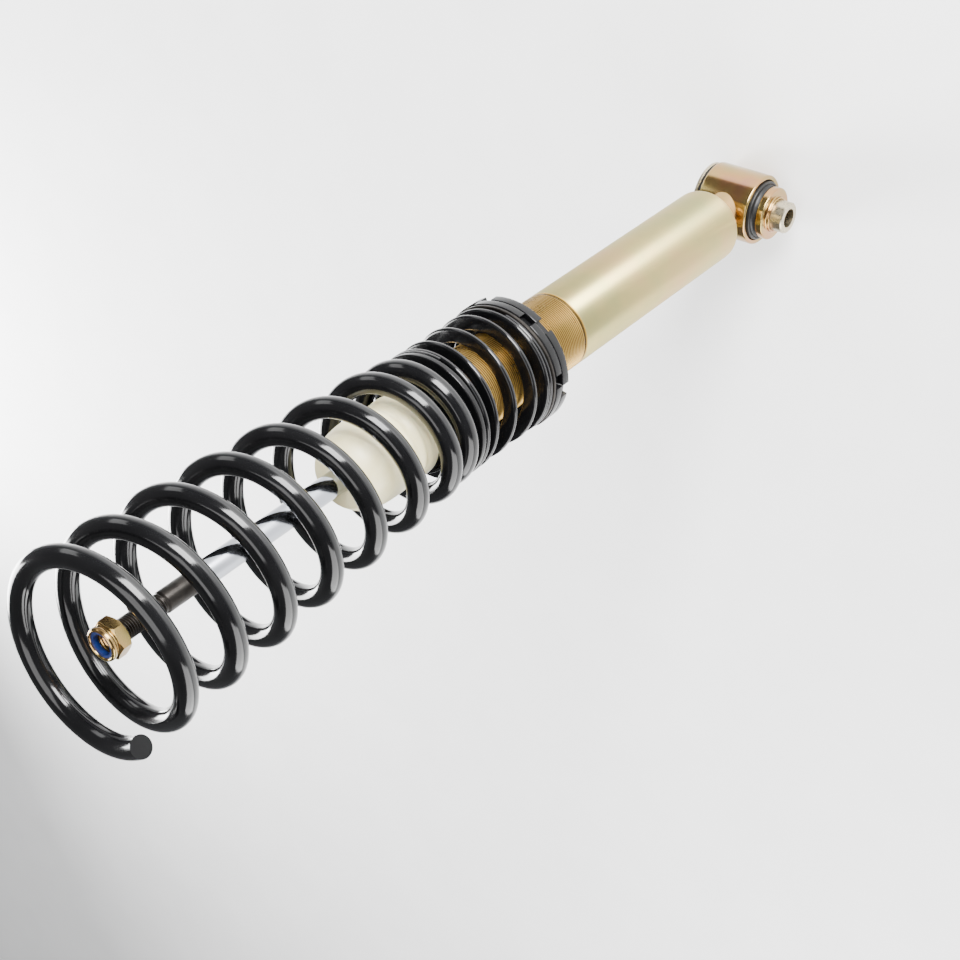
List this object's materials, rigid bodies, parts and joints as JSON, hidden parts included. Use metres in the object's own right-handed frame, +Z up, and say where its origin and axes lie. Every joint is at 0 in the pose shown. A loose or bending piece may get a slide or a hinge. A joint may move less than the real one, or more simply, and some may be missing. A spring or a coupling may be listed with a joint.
{
  "type": "coilover",
  "caption": "Coilover strut: threaded damper on a bushed lower eye, lockable spring perch, flat-wire helper spring, coupler, flared main spring and a foam bump stop on the rod.",
  "frame": {"origin": "centre of the lower eye's bore", "axes": "+Z up the strut to the stud, +X along the eye bolt towards the long end of the sleeve"},
  "size_m": [0.1132, 0.1139, 0.6365],
  "materials": {
    "tube_zinc": "pale yellow zinc plate, satin",
    "eye_zinc": "warm yellow zinc plate",
    "nut_zinc": "yellow zinc plate",
    "weld": "plated weld bead",
    "sleeve_steel": "plated steel",
    "bush_rubber": "black moulded rubber",
    "seal_rubber": "black nitrile rubber",
    "inner_steel": "oiled bare steel",
    "sintered_steel": "sintered steel",
    "bearing_band": "bronze-filled low-friction band",
    "rod_chrome": "ground hard chrome",
    "nylon": "blue nylon",
    "washer_steel": "blackened steel",
    "spring_powder": "gloss black powder coat",
    "black_anodised": "satin black anodising",
    "foam_cream": "cream polyurethane foam"
  },
  "bodies": {
    "strut": {"body_tube": "tube_zinc", "neck": "eye_zinc", "weld_beads": "weld", "eye_ring": "eye_zinc", "bush_rubber": "bush_rubber", "pressure_tube": "inner_steel", "base_valve": "sintered_steel", "base_valve_disc": "inner_steel", "rod_guide": "sintered_steel", "oil_seal": "seal_rubber", "gland_cap": "black_anodised", "wiper_seal": "seal_rubber"},
    "rod": {"piston_rod": "rod_chrome", "piston": "sintered_steel", "piston_ring": "bearing_band", "piston_shims": "inner_steel", "piston_nut": "inner_steel", "rebound_collar": "inner_steel", "rebound_bumper": "seal_rubber", "top_nut": "nut_zinc", "nylon_insert": "nylon"},
    "bush_core": {"eye_sleeve": "sleeve_steel", "spacer_collar": "eye_zinc", "end_washer": "sleeve_steel"},
    "spring_seat": {"slip_washer": "washer_steel", "helper_spring": "spring_powder"},
    "perch": {"perch_ring": "black_anodised"},
    "lock": {"lock_ring": "black_anodised"},
    "coupler": {"spring_coupler": "black_anodised", "main_spring": "spring_powder"},
    "bump": {"bump_stop": "foam_cream"}
  },
  "joints": [
    {"name": "rod_slide", "type": "slide", "parent": "strut", "child": "rod", "axis": [0, 0, 1], "range_m": [-0.11, 0], "stiffness_N_per_m": 3000, "springref_m": 0.05, "deforming": ["main_spring"]},
    {"name": "bush_twist", "type": "hinge", "parent": "strut", "child": "bush_core", "pos_m": [0, 0, 0], "axis": [1, 0, 0], "range_deg": [-15, 15], "stiffness_Nm_per_rad": 40},
    {"name": "perch_height", "type": "slide", "parent": "strut", "child": "spring_seat", "axis": [0, 0, 1], "range_m": [-0.039, 0.0195]},
    {"name": "perch_turn", "type": "hinge", "parent": "spring_seat", "child": "perch", "pos_m": [0, 0, 0.2687], "axis": [0, 0, 1], "range_deg": [-9361, 4681]},
    {"name": "lock_ring_turn", "type": "hinge", "parent": "spring_seat", "child": "lock", "pos_m": [0, 0, 0.2627], "axis": [0, 0, 1], "range_deg": [-9361, 4681]},
    {"name": "coupler_slide", "type": "slide", "parent": "spring_seat", "child": "coupler", "axis": [0, 0, 1], "range_m": [-0.0276, 0], "deforming": ["helper_spring"]},
    {"name": "bump_stop_slide", "type": "slide", "parent": "strut", "child": "bump", "axis": [0, 0, 1], "range_m": [0, 0.045]}
  ],
  "couplings": [
    {"joint": "perch_turn", "follows": "perch_height", "rad_per_m": 4188.8},
    {"joint": "lock_ring_turn", "follows": "perch_height", "rad_per_m": 4188.8},
    {"joint": "coupler_slide", "follows": "rod_slide", "ratio": 0.25}
  ]
}
